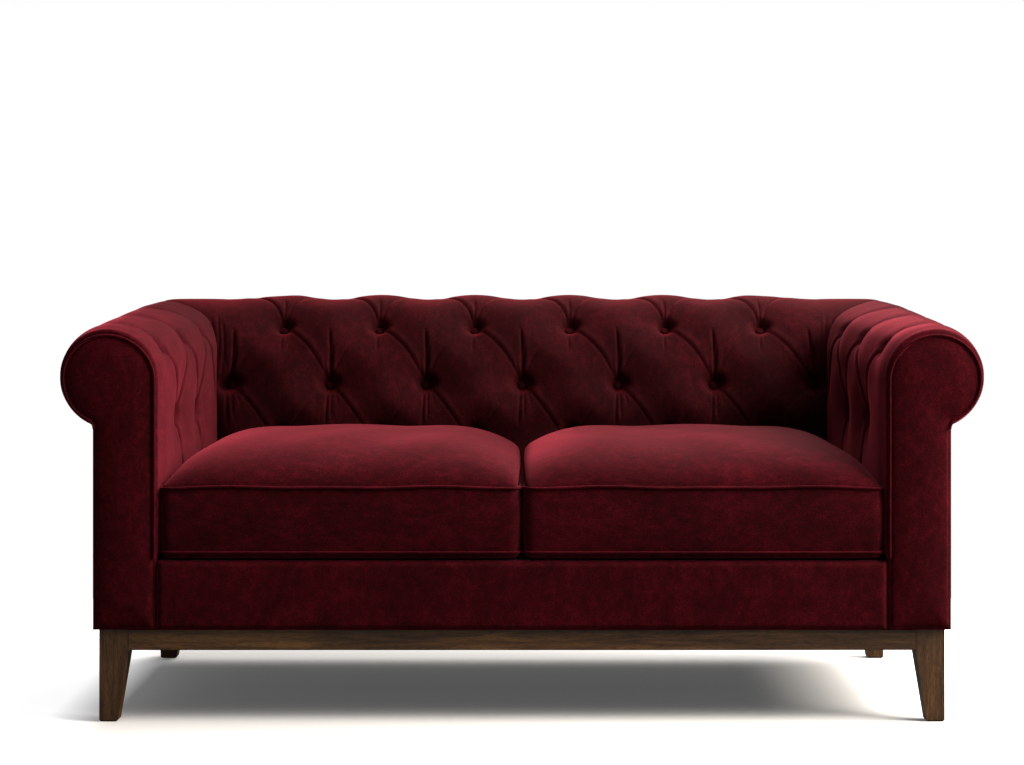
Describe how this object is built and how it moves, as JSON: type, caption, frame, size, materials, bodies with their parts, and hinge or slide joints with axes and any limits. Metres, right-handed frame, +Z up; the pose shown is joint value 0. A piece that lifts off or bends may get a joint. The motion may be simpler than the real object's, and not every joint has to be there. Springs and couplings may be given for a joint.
{
  "type": "sofa",
  "caption": "Two-seat rolled-arm sofa with a deep-buttoned back and arms, loose boxed seat cushions with piping and zips, and a tapered-leg timber plinth.",
  "frame": {"origin": "on the floor under the middle of the sofa's overall box", "axes": "+X along the sofa's width, +Y towards its back, so the seat faces -Y, and +Z up"},
  "size_m": [1.65, 0.85, 0.7577],
  "materials": {
    "velvet": "short-pile velvet",
    "walnut": "dark stained, satin",
    "frame_timber": "sawn softwood",
    "webbing": "woven elastic strap",
    "platform_cloth": "plain weave",
    "lining": "non-woven",
    "foam": "open-cell foam",
    "zip_tape": "woven tape with coil",
    "zip_metal": "nickel",
    "screw_steel": "zinc"
  },
  "bodies": {
    "sofa": {"arm_buttons_left": "velvet", "arm_buttons_right": "velvet", "arm_facing_left": "velvet", "arm_facing_right": "velvet", "arm_front_board_left": "frame_timber", "arm_front_board_right": "frame_timber", "arm_pad_left": "velvet", "arm_pad_right": "velvet", "arm_side_rail_left": "frame_timber", "arm_side_rail_right": "frame_timber", "arm_tack_rail_left": "frame_timber", "arm_tack_rail_right": "frame_timber", "arm_top_rail_left": "frame_timber", "arm_top_rail_right": "frame_timber", "arm_webbing": "webbing", "back_buttons": "velvet", "back_pad": "velvet", "back_post_left": "frame_timber", "back_post_right": "frame_timber", "back_tack_rail": "frame_timber", "back_top_rail": "frame_timber", "back_upper_rail": "frame_timber", "back_uprights": "frame_timber", "back_webbing": "webbing", "dust_cover": "lining", "facing_welt_left": "velvet", "facing_welt_right": "velvet", "front_border": "velvet", "leg_front_left": "walnut", "leg_front_right": "walnut", "leg_rear_left": "walnut", "leg_rear_right": "walnut", "outside_arm_left": "velvet", "outside_arm_right": "velvet", "outside_back": "velvet", "plinth_corner_blocks": "frame_timber", "plinth_rail_back": "walnut", "plinth_rail_front": "walnut", "plinth_rail_left": "walnut", "plinth_rail_right": "walnut", "plinth_screws": "screw_steel", "plinth_tenons": "frame_timber", "seat_deck": "platform_cloth", "seat_rail_back": "frame_timber", "seat_rail_center": "frame_timber", "seat_rail_front": "frame_timber", "seat_rail_left": "frame_timber", "seat_rail_right": "frame_timber", "seat_webbing_cross": "webbing", "seat_webbing_long": "webbing"},
    "cushion_left": {"cushion_cover_left": "velvet", "cushion_core_left": "foam", "cushion_welts_left": "velvet", "cushion_zip_left": "zip_tape"},
    "zip_slider_left": {"zip_slider_left": "zip_metal"},
    "cushion_right": {"cushion_cover_right": "velvet", "cushion_core_right": "foam", "cushion_welts_right": "velvet", "cushion_zip_right": "zip_tape"},
    "zip_slider_right": {"zip_slider_right": "zip_metal"}
  },
  "joints": [
    {"name": "cushion_lift_left", "type": "slide", "parent": "sofa", "child": "cushion_left", "axis": [0, 0, 1], "range_m": [0, 0.4]},
    {"name": "cushion_lift_right", "type": "slide", "parent": "sofa", "child": "cushion_right", "axis": [0, 0, 1], "range_m": [0, 0.4]},
    {"name": "zip_slide_left", "type": "slide", "parent": "cushion_left", "child": "zip_slider_left", "axis": [-1, 0, 0], "range_m": [0, 0.405]},
    {"name": "zip_slide_right", "type": "slide", "parent": "cushion_right", "child": "zip_slider_right", "axis": [1, 0, 0], "range_m": [0, 0.405]}
  ]
}
